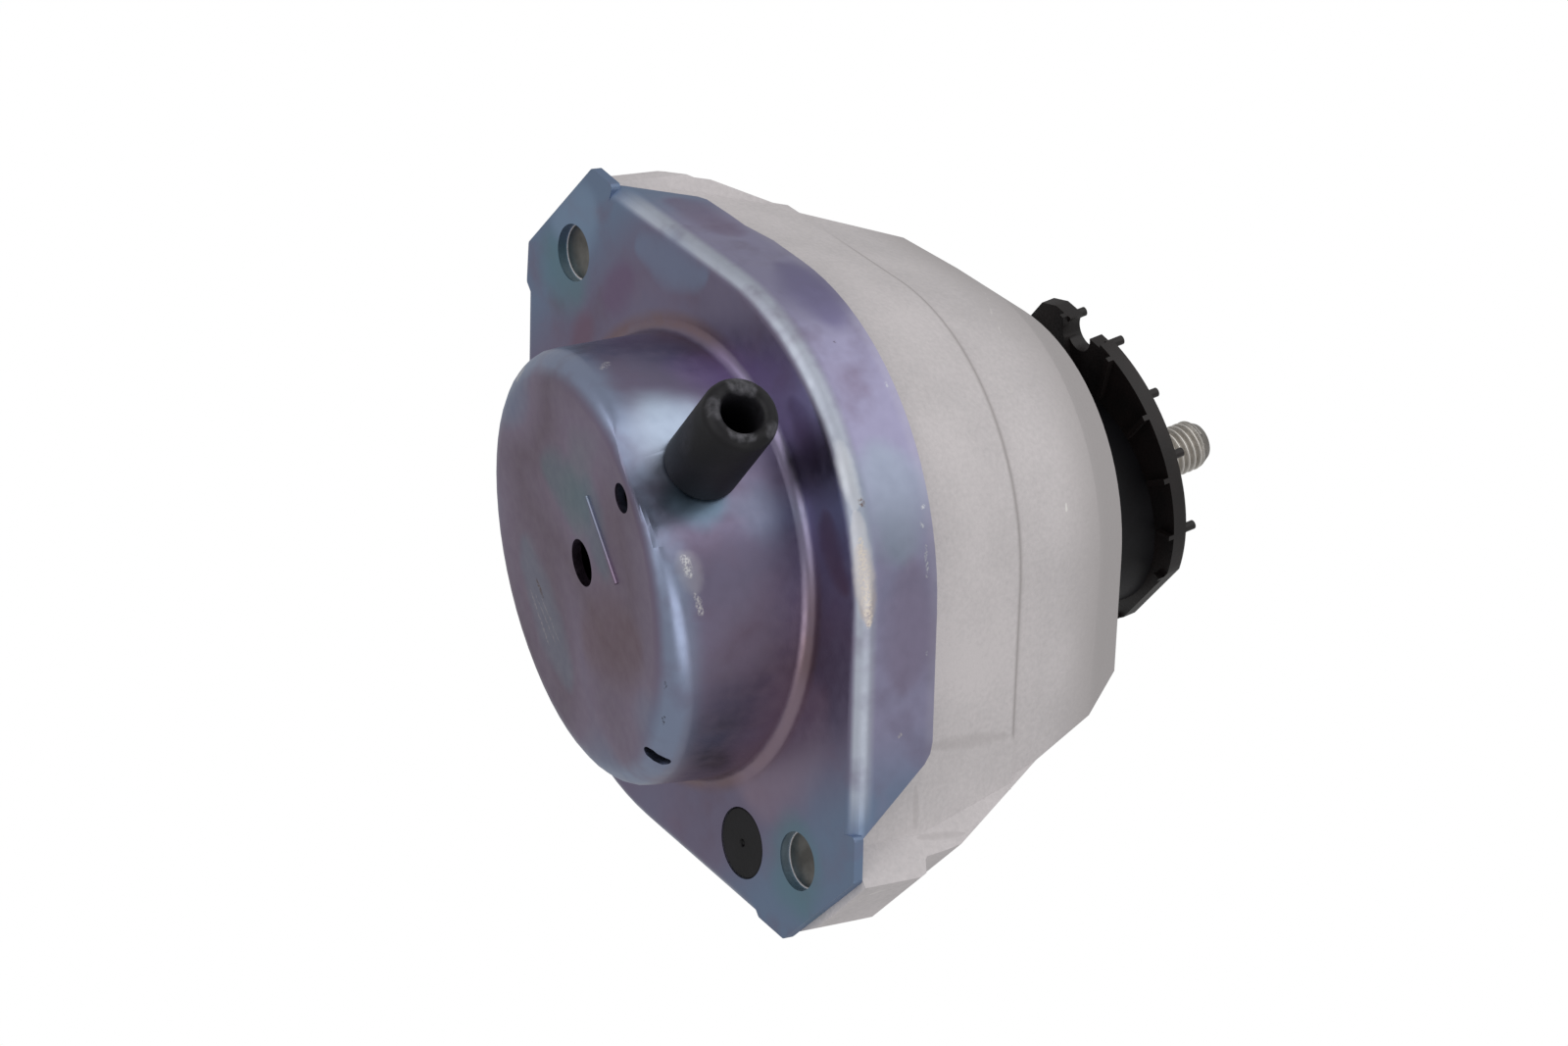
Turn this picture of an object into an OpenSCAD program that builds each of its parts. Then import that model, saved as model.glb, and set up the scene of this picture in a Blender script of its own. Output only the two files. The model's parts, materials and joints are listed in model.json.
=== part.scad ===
// Vacuum-switched hydraulic engine mount. Millimetres. Z runs up the mount's axis, from the
// bearing face of the base plate (z = 0) to the stud; the two bolt holes lie along Y.

/* [Base plate] */
// Sheet thickness of the base plate
sheet_t = 2.0; // [1.6:0.1:2.6]
// Distance between the two bolt holes
bolt_spacing = 126.8; // [124:0.2:130]
// Radius of the bolt holes
bolt_hole_r = 5.55; // [4.6:0.05:6.2]
// Outside radius of the turned-up wings
wing_r = 57.2; // [56.6:0.1:60]
// Angle from the X axis at which the round wing runs out into a straight one
wing_angle = 39; // [36:0.5:42]
// Height of the wings' rear edge
wing_h = 17.1; // [14:0.1:20]
// Outside radius of the bend between plate and wing
wing_bend_r = 2.9; // [2.2:0.1:4]
// Distance from a bolt hole's middle to the end of its ear
ear_margin = 9.8; // [8.6:0.1:12]
// Half width of an ear at its end
ear_tip_w = 14.4; // [12:0.2:17]
// Half width of an ear at its widest corner
ear_root_w = 20; // [18:0.1:21.4]
// Distance from a bolt hole's middle to the ear's widest corner, along Y
ear_root_margin = 3.6; // [2.6:0.1:4.6]
// Width the open side of an ear is cut back by
ear_relief = 1.5; // [0.5:0.1:3]
// Extra length of the ear beside the plug
plug_ear_extra = 0.8; // [0:0.1:2]
// Radius of the corners of the ears
ear_corner_r = 1; // [0.4:0.1:2]
// Distance from a bolt hole's middle back to the top of the wing's chamfer
wing_chamfer = 6.6; // [3.4:0.1:9]

/* [Cup of the base plate] */
// Outside radius of the cup just below its root
cup_root_r = 42.0; // [41:0.1:43]
// Outside radius of the cup at its closed end
cup_end_r = 41.3; // [40.4:0.1:41.6]
// Depth of the closed end below the plate, on the axis
cup_depth = 24.4; // [23.6:0.1:27]
// Slope of the closed end, deeper on the hose side
cup_slope = 12.2; // [8:0.1:13]
// Outside radius of the edge round the closed end
cup_edge_r = 6.6; // [4:0.1:9]
// Outside radius of that edge beside the hose socket
pad_edge_r = 3.6; // [3:0.1:5]
// Radius of the fillet at the root of the cup
cup_fillet_r = 2.4; // [1:0.1:3]
// Offset of the cup from the axis along X
cup_x = 0.3; // [-1:0.1:1]
// Offset of the cup from the axis along Y
cup_y = -0.5; // [-1:0.1:1]
// Radius of the breather hole near the middle
vent_r = 4.5; // [3:0.1:6]
// X of the breather hole
vent_x = -5.3; // [-9:0.1:-4]
// Radius of the small hole near the edge
gauge_hole_r = 2.8; // [2:0.05:3]
// X of the small hole
gauge_hole_x = -34.4; // [-35:0.1:-28]
// Length of the drain slot, across the edge of the cup
drain_l = 5.6; // [4:0.1:7]
// Width of the drain slot
drain_w = 3.0; // [2:0.1:3.8]
// Height of the pressed mark on the closed end
mark_h = 0.5; // [0.3:0.05:0.8]
// Length of the pressed mark
mark_l = 17.3; // [10:0.1:22]

/* [Locating plug] */
// Radius of the plug hole in the plate
plug_hole_r = 6.85; // [6:0.05:7.2]
// X of the plug hole
plug_x = 15.2; // [14:0.1:16]
// Y of the plug hole
plug_y = -53.3; // [-54.5:0.1:-52.5]
// Depth of the plug's face below the bearing face of the plate
plug_sink = 0.1; // [0:0.05:0.6]

/* [Vacuum hose socket] */
// Outside radius of the rubber socket
socket_r = 7.2; // [6.4:0.1:8]
// Radius of the socket's bore
socket_bore_r = 3.9; // [3.2:0.1:4.6]
// Length of the socket outside the cup
socket_l = 22.9; // [18:0.1:28]
// Angle by which the socket points away from the plate
socket_drop = 7.8; // [4:0.1:10]
// Height of the socket's axis below the plate, at the cup wall
socket_depth = 17.2; // [16.4:0.1:18]
// Distance from the cup's middle to the flat that is pressed for the socket
pad_x = 39.4; // [38.6:0.1:40.4]
// Depth of the groove that snaps into the cup wall
neck_depth = 1.6; // [1:0.1:2.2]

/* [Housing] */
// Radius of the casting behind the wings
front_r = 54.6; // [53.6:0.1:54.9]
// Radius of the casting below the step
step_r = 50.4; // [49.8:0.1:51.4]
// Depth of the step
step_d = 0.7; // [0.4:0.05:1]
// Height of the step above the bearing face
step_z = 41; // [38:0.5:44]
// Radius of the casting where the top bevel starts
shoulder_r = 46.2; // [45.4:0.1:48]
// Height at which the top bevel starts
shoulder_z = 62.5; // [61:0.1:64]
// Radius of the rim
rim_r = 40.5; // [39.6:0.1:42]
// Height of the rim above the bearing face
rim_z = 72; // [70:0.2:76]
// Width of the ears and of the webs behind them
ear_w = 29.5; // [26:0.1:32]
// Distance from a bolt hole's middle to the end face of the casting's ear
block_margin = 11.9; // [10.6:0.1:14]
// Draft of the ear away from the plug, over its height
block_draft = 2.6; // [0:0.1:3.2]
// Height of the ear's block above the bearing face
ear_h = 15.5; // [14.6:0.1:17]
// Distance from a bolt hole's middle to the web's face above the ear
web_margin = 8.2; // [7.4:0.1:9.2]
// Distance from the axis to the web's face at the rim
web_top = 44.8; // [43:0.1:46]
// Half width of the nose between web and body
nose_w = 16.2; // [15.5:0.1:17]

/* [Fluid chambers] */
// Radius of the counterbore that takes the clamped rims
clamp_r = 48; // [47:0.1:49]
// Radius of the main bore
bore_r = 44; // [43:0.1:44.6]
// Width of the lip that the outer ring stands against
throat_lip = 3.5; // [3.1:0.1:4]
// Radius of the mouth at the rim
mouth_r = 37.5; // [36:0.1:38]
// Thickness of the air chamber's wall
chamber_t = 2.0; // [1.5:0.1:2.4]
// Outside radius of the air chamber's bowl
bowl_r = 38.4; // [37:0.1:38.8]
// Depth of the bowl below the plate
bowl_depth = 4; // [3:0.1:5]
// Outside radius of the air chamber's pot
pot_r = 18; // [17:0.1:18.6]
// Depth of the pot below the plate
pot_depth = 18.2; // [17:0.1:18.6]
// Outside radius of the hose spigot on the pot
spigot_r = 4.1; // [3.95:0.05:4.6]
// Bore radius of the spigot
spigot_bore_r = 2.2; // [1.5:0.1:2.8]
// Thickness of the rolling diaphragm's clamped rim
bead_t = 2.0; // [1.5:0.1:2.6]
// Thickness of the rolling diaphragm's wall
skin_t = 1.3; // [1:0.1:1.8]
// Thickness of the lower channel plate's flange
channel_flange_t = 3; // [2:0.1:4]
// Height of the lower channel plate above its flange
channel_h = 10; // [9:0.1:12]
// Outer radius of the ring channel
channel_ro = 41.2; // [40:0.1:42]
// Inner radius of the ring channel
channel_ri = 34; // [33:0.1:36]
// Radius of the bypass hole in the middle
bypass_r = 5; // [3.5:0.1:6]
// Radius of the small holes in both channel plates
bleed_r = 2.6; // [1.5:0.1:3]
// Number of small holes in each channel plate
bleed_n = 10; // [6:1:12]
// Thickness of the upper channel plate
upper_t = 2.5; // [2:0.1:3.5]
// Thickness of the seal ring
seal_t = 1.5; // [1:0.1:2]
// Thickness of the decoupler
decoupler_t = 3; // [2:0.1:3.6]
// Play of the decoupler between its grids
decoupler_play = 0.6; // [0.2:0.1:1]

/* [Spring and plunger] */
// Wire diameter of the return spring
wire_d = 2; // [1.4:0.1:2.4]
// Outside radius of the return spring
coil_r = 10.5; // [8:0.1:12]
// Number of turns of the return spring
coil_n = 4; // [3:0.5:5]
// Thickness of the plunger's plate
plunger_t = 3; // [2:0.1:4]
// Radius of the plunger's plate
plunger_r = 12.4; // [12:0.1:13]

/* [Main spring] */
// Wall of the steel outer ring
ring_t = 2.0; // [1.5:0.1:2.6]
// Length of the steel outer ring
ring_l = 28.8; // [26:0.1:32]
// Radius of the rubber at the core, above the fluid
dome_r = 14; // [12:0.2:16]
// Height of the rubber dome above the bearing face
dome_z = 57.5; // [56:0.1:59]
// Thickness of rubber under the core
core_skin = 2.5; // [1.5:0.1:4]
// Radius of the rubber where it meets the cap
boot_r = 22.5; // [21:0.1:24]

/* [Core and stud] */
// Radius of the core's lower end
core_r = 11; // [10:0.1:12]
// Radius of the core's upper end
core_top_r = 19; // [17:0.1:20.5]
// Height of the middle of the core's top face above the bearing face
core_top_z = 93.44; // [90:0.02:98]
// Radius of the raised seat round the stud
seat_r = 12; // [10.5:0.1:13]
// Height of the raised seat above the core's top face
seat_h = 6; // [5:0.1:8]
// Nominal radius of the stud
stud_r = 4.95; // [4:0.05:5.95]
// Length of the stud above its seat
stud_l = 24.7; // [18:0.1:32]
// Height of the thread's run-out above the seat
stud_neck = 1.5; // [1:0.1:2.5]
// Length of the stud's knurled end in the core
stud_root_l = 26; // [18:0.5:30]
// Lean of the stud toward +Y
lean_y = 9.44; // [6:0.02:11]
// Lean of the stud toward -X
lean_x = 6.93; // [4:0.01:9]

/* [Cap] */
// Radius of the cap
cap_r = 32.1; // [30:0.1:33]
// Thickness of the cap
cap_t = 3.0; // [2.4:0.1:4]
// Offset of the cap's round edge from the stud, along the cap's own Y
cap_y = 5.2; // [4:0.1:6.4]
// Distance from the stud to the cap's straight side by the plug
flat_low = 25.1; // [22:0.1:26]
// Distance from the stud to the cap's straight side by the tab
flat_high = 32.2; // [30:0.1:34]
// Distance that the tab stands out past the cap's round edge
tab_out = 1.6; // [1:0.1:3]
// Radius of the notch beside the tab
notch_r = 3.4; // [2:0.1:4]
// Radius of a locating peg
peg_r = 0.9; // [0.7:0.05:1.2]
// Height of a locating peg
peg_h = 2.8; // [1:0.1:3.4]
// Number of ribs under the cap
rib_n = 16; // [8:1:20]
// Depth of the ribs under the cap
rib_h = 1.2; // [0.6:0.1:1.6]

/* [Hidden] */
$fn = 96;
slip = 0.3;
eps = 0.01;
plate_back = sheet_t;
bolt_y = bolt_spacing / 2;
ear_reach = bolt_y + ear_margin;
ear_root_y = bolt_y + ear_root_margin;
wing_chamfer_y = bolt_y - wing_chamfer;
ear_end = bolt_y + block_margin;
web_foot = bolt_y + web_margin;
throat_r = bore_r - throat_lip;
z_bead = plate_back + chamber_t;
z_flange = z_bead + bead_t;
z_shelf = z_flange + channel_flange_t;
z_upper = z_shelf + channel_h;
z_seal = z_upper + upper_t;
z_ring = z_seal + seal_t;
z_stop = z_ring + ring_l;
floor_z = z_shelf - 1;
grid_r = channel_ri - 2;
port_r = (channel_ro - channel_ri) / 2 - 0.7;
decoupler_seat = z_upper - decoupler_t - 2 * decoupler_play;
grid_t = 3;
grid_z = decoupler_seat - grid_t;
boss_r = bypass_r + 2.6;
slope = tan(cup_slope);
pin_r = bolt_hole_r - 0.25;
pin_l = 14;
ear_x = ear_w / 2;
flange_in = 1;
bead_in = bowl_r - chamber_t + 0.8;
lean = [-lean_y, -lean_x, 0];
core_at = [0.97, 0.45, core_top_z];
pad_low = cup_depth + slope * pad_x - pad_edge_r;
pad_run = (pad_low - socket_depth) / (pad_low - cup_fillet_r);
socket_x = pad_x - cup_x + (cup_root_r - pad_x) * pad_run;
socket_at = [-socket_x, 0.45, -socket_depth];
spigot_in = (socket_x - pot_r) / cos(socket_drop);
cap_at = [-1.9, cap_y];

// Outline of the body: an arc on each side, run out along tangents to a flat nose at each end.
function reach(r, a, x) = (r - x * cos(a)) / sin(a);
function arc(r, a, turn) = [for (i = [0:20]) let (t = turn + a * (i / 10 - 1)) [r * cos(t), r * sin(t)]];
function outline(r, a, x) = let (y = reach(r, a, x))
    concat(arc(r, a, 0), [[x, y], [-x, y]], arc(r, a, 180), [[-x, -y], [x, -y]]);
function level(z, r, a, x) = [for (p = outline(r, a, x)) [p[0], p[1], z]];

// Solid through a stack of rings, lowest first, each with the same number of points.
module loft(rings) {
    m = len(rings[0]);
    n = len(rings);
    polyhedron([for (r = rings) each r], concat([[for (k = [0:m - 1]) k]],
        [for (i = [0:n - 2]) for (k = [0:m - 1]) [i * m + k, (i + 1) * m + k, i * m + (k + 1) % m]],
        [for (i = [0:n - 2]) for (k = [0:m - 1])
            [i * m + (k + 1) % m, (i + 1) * m + k, (i + 1) * m + (k + 1) % m]],
        [[for (k = [m - 1:-1:0]) (n - 1) * m + k]]), 6);
}

// Shape of the flanged plate with a rounded bend; skin moves it inward.
module flange_form(skin, top) {
    rr = wing_bend_r - skin;
    bend = [for (a = [90:-15:0])
        level(skin + rr * (1 - sin(a)), wing_r - skin - rr + rr * cos(a), wing_angle, 12.8)];
    loft(concat(bend, [level(top, wing_r - skin, wing_angle, 12.8)]));
}
module ear_outline() {
    for (s = [0, 1]) mirror([0, s]) offset(r = ear_corner_r) offset(delta = -ear_corner_r) polygon([
        [-ear_root_w + 3.2, ear_root_y - 1.9], [-ear_root_w, ear_root_y],
        [-ear_tip_w - 1.2 * (1 - s), ear_reach + plug_ear_extra * s],
        [ear_tip_w - 1.2, ear_reach - 0.4 + plug_ear_extra * s],
        [ear_root_w - ear_relief, ear_root_y], [ear_root_w - ear_relief, ear_root_y - 2.6],
        [ear_root_w - 0.8, ear_root_y - 5], [ear_root_w - 0.8, ear_root_y - 12],
        [-ear_root_w + 3.2, ear_root_y - 12]]);
}

// Side view of what is cut from the wings at one end, with the rounded corner of the chamfer. The
// corner sags a little at the end away from the plug, where sag is 1.
module wing_cut(sag) {
    polygon([[ear_root_y + 0.6, sheet_t], [wing_chamfer_y + 1.2 + 2.8 * sag, wing_h - 1.6 - 1.1 * sag],
        [wing_chamfer_y - 0.2 + 2.9 * sag, wing_h - 0.45 - 1.25 * sag],
        [wing_chamfer_y - 2 - sag, wing_h + eps * 2 - 1.4 * sag],
        [wing_chamfer_y - 2.1 - 5 * sag, wing_h + eps * 2 - 1.4 * sag],
        [wing_chamfer_y - 2.2 - 11 * sag, wing_h + eps * 2],
        [wing_chamfer_y - 2.2 - 11 * sag, wing_h + 5], [ear_reach + 20, wing_h + 5],
        [ear_reach + 20, -1], [ear_root_y + 0.6, -1]]);
}

// A ring of the edge round the cup's sloping end. The edge is tighter beside the hose socket, where
// the wall is pressed flat. a runs from 0 on the end face to 90 on the wall.
function edge_r(i) = cup_edge_r - (cup_edge_r - pad_edge_r) * pow(max(0, -cos(6 * i)), 3);
function cup_ring(a, skin) = [for (i = [0:59])
    let (e = edge_r(i), r = cup_end_r - e + (e - skin) * sin(a),
        x = cup_x + max(r * cos(6 * i), skin - pad_x),
        lift = skin / cos(cup_slope) + (e - skin) * (1 - cos(a)))
    [x, cup_y + r * sin(6 * i), lift - cup_depth + slope * x]];
function cup_rim(r, z) = [for (i = [0:59]) [cup_x + r * cos(6 * i), cup_y + r * sin(6 * i), z]];

// Shape of the cup with its root fillet; skin moves it inward.
module cup_form(skin, top) {
    fr = cup_fillet_r + skin;
    edge = [for (a = [0:15:90]) cup_ring(a, skin)];
    root = [for (a = [0:22.5:90])
        cup_rim(cup_root_r + cup_fillet_r - fr * cos(a), fr * sin(a) - cup_fillet_r)];
    loft(concat(edge, root, [cup_rim(cup_root_r + cup_fillet_r, top)]));
}

module along_socket() {
    translate(socket_at) rotate([0, -90 - socket_drop, 0]) children();
}

module base_plate() {
    color("slategray") difference() {
        union() {
            difference() {
                flange_form(0, wing_h);
                flange_form(sheet_t, wing_h + 1);
                for (s = [0, 1]) mirror([0, s, 0]) rotate([90, 0, 90])
                    translate([0, 0, -wing_r - 20]) linear_extrude(wing_r * 2 + 40) wing_cut(1 - s);
            }
            linear_extrude(sheet_t) ear_outline();
            cup_form(0, sheet_t / 2);
            mark();
        }
        cup_form(sheet_t, sheet_t + 1);
        for (s = [-1, 1]) translate([0, s * bolt_y, -1]) cylinder(h = sheet_t + 2, r = bolt_hole_r);
        translate([plug_x, plug_y, -1]) cylinder(h = sheet_t + 2, r = plug_hole_r);
        translate([vent_x, -1.2, slope * vent_x - cup_depth - 5]) cylinder(h = 12, r = vent_r);
        translate([gauge_hole_x, -1.2, slope * gauge_hole_x - cup_depth - 5])
            cylinder(h = 12, r = gauge_hole_r);
        drain();
        along_socket() translate([0, 0, -12]) cylinder(h = 24, r = socket_r - neck_depth);
    }
}
// Raised crease pressed into the closed end of the cup.
module mark() {
    at = [-18.7, -2.5];
    translate([at[0], at[1], slope * at[0] - cup_depth]) rotate([0, -cup_slope, 0]) rotate([0, 0, 3])
        rotate([90, 0, 0]) translate([0, 0, -mark_l / 2]) cylinder(h = mark_l, r = mark_h, $fn = 24);
}
module drain() {
    straight = drain_l - drain_w;
    translate([cup_x - 2.8, cup_y - cup_end_r + 1.9, 1.4 - cup_depth]) rotate([-45, 0, 0]) {
        for (e = [-1, 1]) translate([0, e * straight / 2, -8]) cylinder(h = 16, r = drain_w / 2, $fn = 32);
        translate([-drain_w / 2, -straight / 2, -8]) cube([drain_w, straight, 16]);
    }
}

// Side view of one ear of the casting and of the web behind it. The ear with more draft is taller.
module web_side(draft) {
    top = ear_h + draft * 0.6;
    polygon([[-1, plate_back], [ear_end, plate_back], [ear_end - draft, top - 1.2],
        [ear_end - draft - 0.6, top + 0.3], [web_foot + 0.7 - draft * 0.27, top + 1.1],
        [web_foot - draft * 0.12, top + 1.7], [web_foot - 0.5 - draft * 0.65, ear_h + 6.5],
        [web_foot - 1.1 - draft * 0.75, ear_h + 10], [web_top, rim_z - 2],
        [web_top - 1.2, rim_z], [-1, rim_z]]);
}
// Plan of both ears, with the corners that are cut back on opposite sides.
module block_plan() {
    polygon([for (s = [1, -1]) each [[s * (ear_x + 0.1), -s * (ear_end - 4.95 + 0.25 * s)],
        [s * (ear_x - 2.2), -s * (ear_end - 2.5 + 0.2 * s)], [s * 4, -s * (ear_end + 0.1)],
        [-s * (ear_x + 0.1), -s * (ear_end + 0.1)]]]);
}
module housing() {
    color("silver") difference() {
        union() {
            loft([level(plate_back, front_r - 1, 40, 14), level(plate_back + 1, front_r, 40, 14),
                level(wing_h, front_r, 40, 14), level(step_z, step_r, 40, 14),
                level(step_z + 0.3, step_r - step_d, 40.2, 14),
                level(shoulder_z, shoulder_r, 42, nose_w), level(rim_z, rim_r, 40.7, nose_w)]);
            intersection() {
                rotate([90, 0, 90]) translate([0, 0, -ear_x]) linear_extrude(ear_w) union() {
                    web_side(block_draft);
                    mirror([1, 0]) web_side(0);
                }
                linear_extrude(rim_z + 1) block_plan();
            }
        }
        rotate_extrude() polygon([[0, plate_back - 1], [clamp_r, plate_back - 1],
            [clamp_r, z_shelf], [bore_r, z_shelf], [bore_r, z_stop], [throat_r, z_stop],
            [throat_r, z_stop + 8], [mouth_r, z_stop + 14], [mouth_r, rim_z - 1],
            [mouth_r + 1, rim_z + 1], [0, rim_z + 1]]);
        for (s = [-1, 1]) translate([0, s * bolt_y, plate_back - 1]) cylinder(h = pin_l + 1.4, r = pin_r);
    }
}

module ear_pins() {
    color("dimgray") for (s = [-1, 1]) translate([0, s * bolt_y, plate_back]) rotate_extrude()
        polygon([[0, 0], [pin_r - 0.6, 0], [pin_r, 0.6], [pin_r, pin_l], [0, pin_l]]);
}

module locating_plug() {
    z = plug_sink;
    color("black") translate([plug_x, plug_y, 0]) rotate_extrude() polygon([[0, z + 0.6], [0.5, z + 0.6],
        [0.8, z], [plug_hole_r - 0.4, z], [plug_hole_r, z + 0.3], [plug_hole_r, sheet_t], [0, sheet_t]]);
}

// Rubber socket: open outside for the hose pipe, snapped into the cup wall, over the spigot inside.
module hose_socket() {
    neck = socket_r - neck_depth;
    inner = -8;
    color("black") along_socket() rotate_extrude() polygon([[spigot_r, inner], [socket_r - 0.4, inner],
        [socket_r + 0.4, -sheet_t - 2.8], [socket_r + 0.4, -sheet_t - 1.2],
        [neck, -sheet_t - 1.2], [neck, 0.4], [socket_r, 0.4], [socket_r, socket_l - 1.4],
        [socket_r - 0.4, socket_l - 0.4], [socket_r - 1.4, socket_l], [socket_bore_r + 0.8, socket_l],
        [socket_bore_r, socket_l - 0.8], [socket_bore_r, 1], [spigot_r, 1]]);
}

module air_chamber() {
    pot_in = pot_r - chamber_t;
    bowl_in = bowl_r - chamber_t;
    color("dimgray") difference() {
        union() {
            rotate_extrude() polygon([[0, -pot_depth], [pot_r, -pot_depth], [pot_r, -bowl_depth],
                [bowl_r, -bowl_depth], [bowl_r, plate_back], [clamp_r - slip, plate_back],
                [clamp_r - slip, z_bead], [0, z_bead]]);
            along_socket() translate([0, 0, -spigot_in - chamber_t / 2])
                cylinder(h = spigot_in + chamber_t / 2, r = spigot_r);
        }
        rotate_extrude() polygon([[0, chamber_t - pot_depth], [pot_in, chamber_t - pot_depth],
            [pot_in, chamber_t - bowl_depth], [bowl_in, chamber_t - bowl_depth],
            [bowl_in, z_bead + 1], [0, z_bead + 1]]);
        along_socket() translate([0, 0, -spigot_in - chamber_t * 2])
            cylinder(h = spigot_in + chamber_t * 2 + 1, r = spigot_bore_r);
    }
}

function helix(r, d, n, h, s) = [for (i = [0:n * s]) for (k = [0:7])
    let (a = 360 * i / s, b = 45 * k, rr = r - d / 2 + d / 2 * cos(b))
    [rr * cos(a), rr * sin(a), d / 2 + (h - d) * i / (n * s) + d / 2 * sin(b)]];
module return_spring() {
    rings = coil_n * 24 + 1;
    h = z_flange - plunger_t + pot_depth - chamber_t;
    faces = concat([[7, 6, 5, 4, 3, 2, 1, 0]], [for (i = [0:rings - 2]) for (k = [0:7])
        [i * 8 + k, i * 8 + (k + 1) % 8, (i + 1) * 8 + (k + 1) % 8, (i + 1) * 8 + k]],
        [[for (k = [0:7]) (rings - 1) * 8 + k]]);
    color("gray") translate([0, 0, chamber_t - pot_depth])
        polyhedron(helix(coil_r, wire_d, coil_n, h, 24), faces, 4);
}

// Spring-loaded plunger that lifts the diaphragm's pad against the bypass hole.
module plunger() {
    guide = coil_r - wire_d - slip;
    color("darkgray") translate([0, 0, z_flange - plunger_t]) rotate_extrude() polygon([[0, -4],
        [guide, -4], [guide, 0], [plunger_r, 0], [plunger_r, plunger_t], [0, plunger_t]]);
}

module switching_membrane() {
    z = chamber_t - bowl_depth;
    color("black") rotate_extrude() polygon([[pot_r - 0.5, z], [pot_r + 5, z], [pot_r + 5, z + bead_t],
        [pot_r, z + bead_t],
        [pot_r - 1.6, z + bead_t + 1.2], [plunger_r + 1.2, z_flange - plunger_t + 0.3],
        [plunger_r + 1, z_flange - 0.6], [plunger_r, z_flange - 0.6],
        [plunger_r, z_flange - plunger_t - 0.9],
        [pot_r - 2.4, z + bead_t - 0.6]]);
}

module membrane_ring() {
    z = chamber_t - bowl_depth + bead_t;
    color("lightgray") rotate_extrude() polygon([[pot_r + 1, z], [pot_r + 5, z], [pot_r + 6, z - bead_t],
        [pot_r + 10, z - bead_t], [pot_r + 10, z - bead_t + 1.2], [pot_r + 7, z - bead_t + 1.2],
        [pot_r + 6, z + 1.2], [pot_r + 1, z + 1.2]]);
}

module rolling_diaphragm() {
    r = bead_in;
    z = z_bead;
    color("black") rotate_extrude() polygon([[clamp_r - slip, z], [clamp_r - slip, z + bead_t],
        [r, z + bead_t], [r - 2, z + bead_t - 1],
        [r - 4.4, z - 2 + skin_t], [r - 6.4, z - 2.6 + skin_t], [r - 8.4, z - 2 + skin_t],
        [plunger_r + 4, z + bead_t + skin_t], [plunger_r - 1, z + bead_t + skin_t + 0.4],
        [boss_r + 1, grid_z], [0, grid_z], [0, z_flange],
        [plunger_r + 2.6, z_flange], [r - 9.4, z - 2], [r - 6.4, z - 2.6], [r - 3.4, z - 2],
        [r - 1.2, z]]);
}

module channel_lower() {
    color("gainsboro") difference() {
        rotate_extrude() polygon([[bypass_r, grid_z], [channel_ri - 2.5, grid_z],
            [channel_ri - 1.5, floor_z], [channel_ro - 1, floor_z], [channel_ro - 0.5, z_flange],
            [clamp_r - slip, z_flange], [clamp_r - slip, z_shelf], [bore_r - slip, z_shelf],
            [bore_r - slip, z_upper], [grid_r, z_upper], [grid_r, grid_z + grid_t],
            [boss_r, grid_z + grid_t], [boss_r, z_upper], [bypass_r, z_upper]]);
        rotate_extrude(angle = 350) translate([channel_ri, z_shelf + 1])
            square([channel_ro - channel_ri, channel_h]);
        for (i = [0:bleed_n - 1]) rotate(360 / bleed_n * i)
            translate([(grid_r + boss_r) / 2, 0, grid_z - 1])
            cylinder(h = grid_t + 2, r = bleed_r);
        rotate(-22) translate([(channel_ri + channel_ro) / 2, 0, z_shelf - 3]) cylinder(h = 6, r = port_r);
    }
}

module decoupler() {
    color("black") difference() {
        translate([0, 0, decoupler_seat + decoupler_play]) cylinder(h = decoupler_t, r = grid_r - slip);
        translate([0, 0, decoupler_seat]) cylinder(h = decoupler_t + 3, r = boss_r + slip);
        for (i = [0:bleed_n - 1]) rotate(360 / bleed_n * (i + 0.5))
            translate([grid_r - slip, 0, decoupler_seat]) cylinder(h = decoupler_t + 3, r = bleed_r / 2);
    }
    color("black") for (i = [0:bleed_n - 1]) rotate(360 / bleed_n * (i + 0.5))
        translate([(grid_r + boss_r) / 2, 0, decoupler_seat])
            cylinder(h = decoupler_t + decoupler_play * 2, r = bleed_r / 2);
}

module channel_upper() {
    color("silver") difference() {
        translate([0, 0, z_upper]) cylinder(h = upper_t, r = bore_r - slip);
        translate([0, 0, z_upper - 1]) cylinder(h = upper_t + 2, r = bypass_r);
        for (i = [0:bleed_n - 1]) rotate(360 / bleed_n * i)
            translate([(grid_r + boss_r) / 2, 0, z_upper - 1])
            cylinder(h = upper_t + 2, r = bleed_r);
        rotate(10) translate([(channel_ri + channel_ro) / 2, 0, z_upper - 1])
            cylinder(h = upper_t + 2, r = port_r);
    }
}

module seal_ring() {
    color("black") translate([0, 0, z_seal]) rotate_extrude()
        translate([bore_r - slip - 3, 0]) square([3, seal_t]);
}

module outer_ring() {
    color("steelblue") rotate_extrude() polygon([[bore_r - ring_t, z_ring], [bore_r, z_ring],
        [bore_r, z_stop], [throat_r, z_stop], [throat_r, z_stop - ring_t],
        [bore_r - ring_t, z_stop - ring_t]]);
}

module on_lean() {
    translate(core_at) rotate(lean) children();
}
// Everything above the core's leaning top face.
module above_core() {
    on_lean() translate([-cap_r * 2, -cap_r * 2, 0]) cube([cap_r * 4, cap_r * 4, 60]);
}
module core_form() {
    rotate_extrude() polygon([[0, dome_z + core_skin], [core_r, dome_z + core_skin],
        [core_r + 2, dome_z + core_skin + 4], [core_top_r, core_top_z - 12],
        [core_top_r, core_top_z + 8], [0, core_top_z + 8]]);
}

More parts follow.
